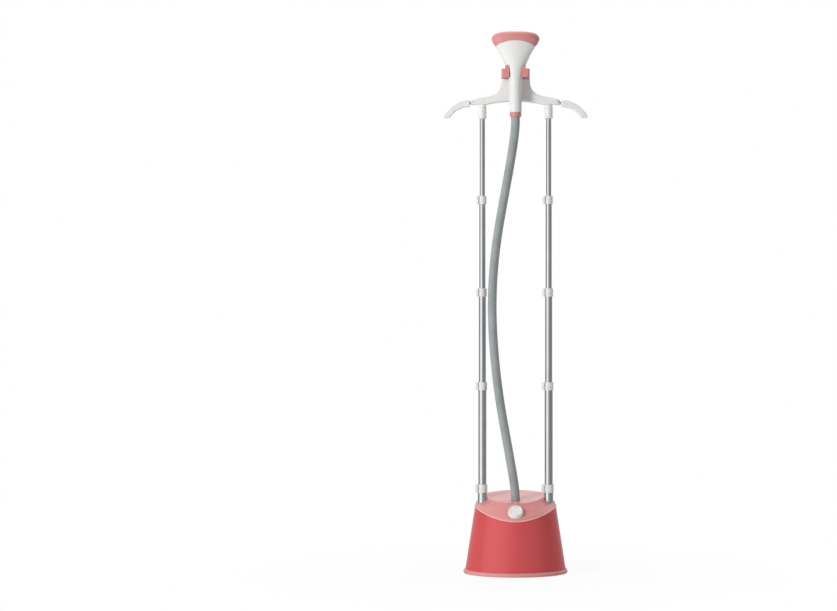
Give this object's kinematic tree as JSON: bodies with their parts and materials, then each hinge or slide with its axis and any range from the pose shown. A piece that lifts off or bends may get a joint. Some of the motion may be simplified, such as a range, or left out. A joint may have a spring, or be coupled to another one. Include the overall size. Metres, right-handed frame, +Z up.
{
  "type": "garment steamer",
  "caption": "Upright garment steamer: tapered oval base with rear water tank, telescopic twin poles, folding hanger, fabric-sleeved hose and a hand-held steam head in a cradle.",
  "frame": {"origin": "on the floor under the middle of the base", "axes": "+Z up along the poles, -Y is the front with the control knob, +X to the right"},
  "size_m": [0.445, 0.282, 1.6605],
  "materials": {
    "red_plastic": "satin moulded",
    "pink_plastic": "satin moulded",
    "white_plastic": "satin moulded",
    "tube_metal": "drawn and polished",
    "black_rubber": "matt",
    "steel": "plated",
    "dark_plastic": "matt moulded",
    "cast_aluminium": "satin",
    "clear_plastic": "translucent",
    "light_lens": "polished",
    "hose_fabric": "woven sleeve"
  },
  "bodies": {
    "base": {"base_tray": "pink_plastic", "rubber_feet": "black_rubber", "housing_screws": "steel", "pole_sockets": "dark_plastic", "body_shell": "red_plastic", "cord_gland": "black_rubber", "deck_panel": "pink_plastic", "rotary_switch": "dark_plastic", "indicator_light": "light_lens", "tank_well": "dark_plastic", "boiler": "cast_aluminium", "boiler_cover": "cast_aluminium", "steam_pipe": "cast_aluminium", "thermostat": "dark_plastic", "feed_tube": "dark_plastic", "steam_hose": "hose_fabric", "left_tube_1": "tube_metal", "right_tube_1": "tube_metal", "left_collar_1": "white_plastic", "right_collar_1": "white_plastic"},
    "knob": {"control_knob": "white_plastic"},
    "tank": {"water_tank": "clear_plastic", "tank_valve": "dark_plastic", "tank_lid": "pink_plastic"},
    "stage_2": {"left_tube_2": "tube_metal", "right_tube_2": "tube_metal", "left_collar_2": "white_plastic", "right_collar_2": "white_plastic"},
    "stage_3": {"left_tube_3": "tube_metal", "right_tube_3": "tube_metal", "left_collar_3": "white_plastic", "right_collar_3": "white_plastic"},
    "stage_4": {"left_tube_4": "tube_metal", "right_tube_4": "tube_metal", "left_collar_4": "white_plastic", "right_collar_4": "white_plastic"},
    "stage_5": {"left_tube_5": "tube_metal", "right_tube_5": "tube_metal", "pole_sleeves": "white_plastic", "hanger_front": "white_plastic", "hanger_rear": "white_plastic", "cradle_fork": "pink_plastic", "wing_pins": "steel"},
    "left_lever_1": {"left_lever_1": "white_plastic"},
    "left_lever_2": {"left_lever_2": "white_plastic"},
    "left_lever_3": {"left_lever_3": "white_plastic"},
    "left_lever_4": {"left_lever_4": "white_plastic"},
    "left_wing": {"left_wing": "white_plastic"},
    "right_lever_1": {"right_lever_1": "white_plastic"},
    "right_lever_2": {"right_lever_2": "white_plastic"},
    "right_lever_3": {"right_lever_3": "white_plastic"},
    "right_lever_4": {"right_lever_4": "white_plastic"},
    "right_wing": {"right_wing": "white_plastic"},
    "head": {"head_shell": "white_plastic", "head_bezel": "pink_plastic", "steam_plate": "cast_aluminium", "hose_collar": "pink_plastic"}
  },
  "joints": [
    {"name": "knob_turn", "type": "hinge", "parent": "base", "child": "knob", "pos_m": [0, -0.0943, 0.19304], "axis": [0, -0.7094, 0.7048], "range_deg": [-135, 135]},
    {"name": "tank_lift", "type": "slide", "parent": "base", "child": "tank", "axis": [0, 0, 1], "range_m": [0, 0.19]},
    {"name": "stage_2_slide", "type": "slide", "parent": "base", "child": "stage_2", "axis": [0, 0, -1], "range_m": [0, 0.2], "deforming": ["steam_hose"]},
    {"name": "stage_3_slide", "type": "slide", "parent": "stage_2", "child": "stage_3", "axis": [0, 0, -1], "range_m": [0, 0.25], "deforming": ["steam_hose"]},
    {"name": "stage_4_slide", "type": "slide", "parent": "stage_3", "child": "stage_4", "axis": [0, 0, -1], "range_m": [0, 0.248], "deforming": ["steam_hose"]},
    {"name": "stage_5_slide", "type": "slide", "parent": "stage_4", "child": "stage_5", "axis": [0, 0, -1], "range_m": [0, 0.23], "deforming": ["steam_hose"]},
    {"name": "left_lever_1_turn", "type": "hinge", "parent": "base", "child": "left_lever_1", "pos_m": [-0.1182, 0.01012, 0.26], "axis": [0, 0, -1], "range_deg": [0, 100]},
    {"name": "left_lever_2_turn", "type": "hinge", "parent": "stage_2", "child": "left_lever_2", "pos_m": [-0.11739, 0.00962, 0.575], "axis": [0, 0, -1], "range_deg": [0, 100]},
    {"name": "left_lever_3_turn", "type": "hinge", "parent": "stage_3", "child": "left_lever_3", "pos_m": [-0.11659, 0.00911, 0.863], "axis": [0, 0, -1], "range_deg": [0, 100]},
    {"name": "left_lever_4_turn", "type": "hinge", "parent": "stage_4", "child": "left_lever_4", "pos_m": [-0.11578, 0.00861, 1.147], "axis": [0, 0, -1], "range_deg": [0, 100]},
    {"name": "left_wing_fold", "type": "hinge", "parent": "stage_5", "child": "left_wing", "pos_m": [-0.13, 0, 1.4485], "axis": [0, -1, 0], "range_deg": [0, 40]},
    {"name": "right_lever_1_turn", "type": "hinge", "parent": "base", "child": "right_lever_1", "pos_m": [0.0858, 0.01012, 0.26], "axis": [0, 0, -1], "range_deg": [0, 100]},
    {"name": "right_lever_2_turn", "type": "hinge", "parent": "stage_2", "child": "right_lever_2", "pos_m": [0.08661, 0.00962, 0.575], "axis": [0, 0, -1], "range_deg": [0, 100]},
    {"name": "right_lever_3_turn", "type": "hinge", "parent": "stage_3", "child": "right_lever_3", "pos_m": [0.08741, 0.00911, 0.863], "axis": [0, 0, -1], "range_deg": [0, 100]},
    {"name": "right_lever_4_turn", "type": "hinge", "parent": "stage_4", "child": "right_lever_4", "pos_m": [0.08822, 0.00861, 1.147], "axis": [0, 0, -1], "range_deg": [0, 100]},
    {"name": "right_wing_fold", "type": "hinge", "parent": "stage_5", "child": "right_wing", "pos_m": [0.13, 0, 1.4485], "axis": [0, 1, 0], "range_deg": [0, 40]},
    {"name": "head_lift", "type": "slide", "parent": "stage_5", "child": "head", "axis": [0, 0, 1], "range_m": [0, 0.06], "deforming": ["steam_hose"]}
  ]
}
